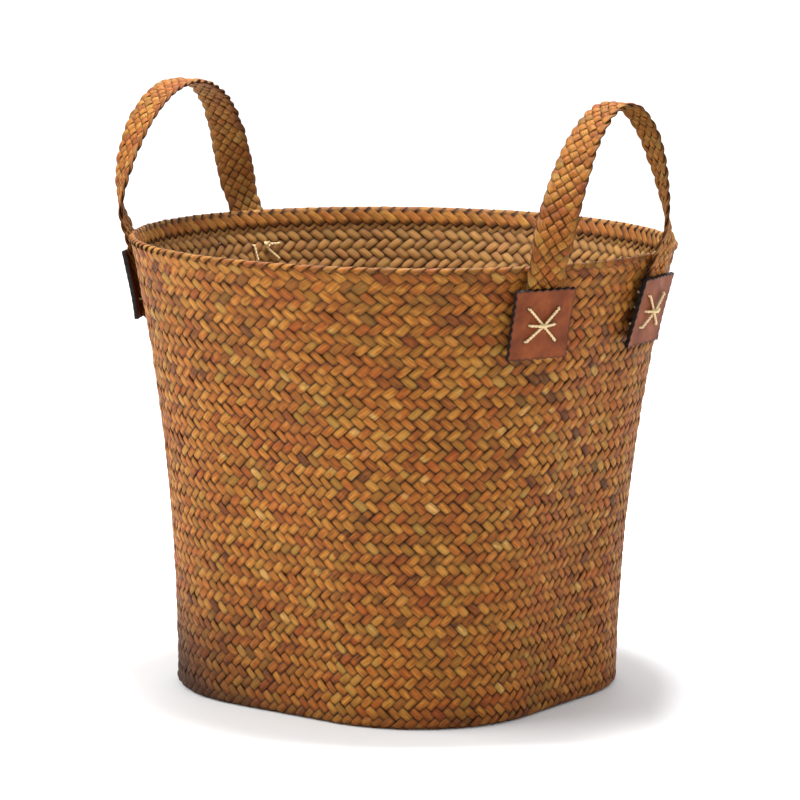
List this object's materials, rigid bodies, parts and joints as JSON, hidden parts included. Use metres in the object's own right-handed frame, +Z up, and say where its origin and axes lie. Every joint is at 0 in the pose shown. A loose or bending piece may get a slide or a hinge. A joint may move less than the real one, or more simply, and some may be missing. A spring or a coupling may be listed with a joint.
{
  "type": "laundry basket",
  "caption": "Open plaited basket with a rounded-square base flaring to a round mouth, folded rim, and two fold-down strap handles sewn on outside under leather patches.",
  "frame": {"origin": "centre of the basket's underside, on the floor plane", "axes": "+Z up through the mouth; the base's flat sides face +X, -X, +Y and -Y; the middle of one handle stands 8 degrees clockwise of +X and that of the other 6 degrees anticlockwise of -X, seen from above"},
  "size_m": [0.4267, 0.3996, 0.4404],
  "materials": {
    "seagrass_wall": "matte",
    "seagrass_base": "matte",
    "seagrass_border": "matte",
    "seagrass_strap": "matte",
    "cane_hoop": "satin",
    "patch_leather": "satin",
    "twine": "matte"
  },
  "bodies": {
    "root": {"base_mat": "seagrass_base", "wall": "seagrass_wall", "rim_border": "seagrass_border", "rim_hoop": "cane_hoop", "right_front_strap_end": "seagrass_strap", "right_front_patch": "patch_leather", "right_front_stitch": "twine", "right_front_knot": "twine", "right_back_strap_end": "seagrass_strap", "right_back_patch": "patch_leather", "right_back_stitch": "twine", "right_back_knot": "twine", "left_back_strap_end": "seagrass_strap", "left_back_patch": "patch_leather", "left_back_stitch": "twine", "left_back_knot": "twine", "left_front_strap_end": "seagrass_strap", "left_front_patch": "patch_leather", "left_front_stitch": "twine", "left_front_knot": "twine"},
    "right_handle": {"right_handle": "seagrass_strap"},
    "left_handle": {"left_handle": "seagrass_strap"}
  },
  "joints": [
    {"name": "right_handle_fold", "type": "hinge", "parent": "root", "child": "right_handle", "pos_m": [0.19525, -0.02744, 0.33965], "axis": [0.1392, 0.9903, 0], "range_deg": [-80, 75]},
    {"name": "left_handle_fold", "type": "hinge", "parent": "root", "child": "left_handle", "pos_m": [-0.18837, -0.02013, 0.33965], "axis": [0.1063, -0.9943, 0], "range_deg": [-80, 75]}
  ]
}
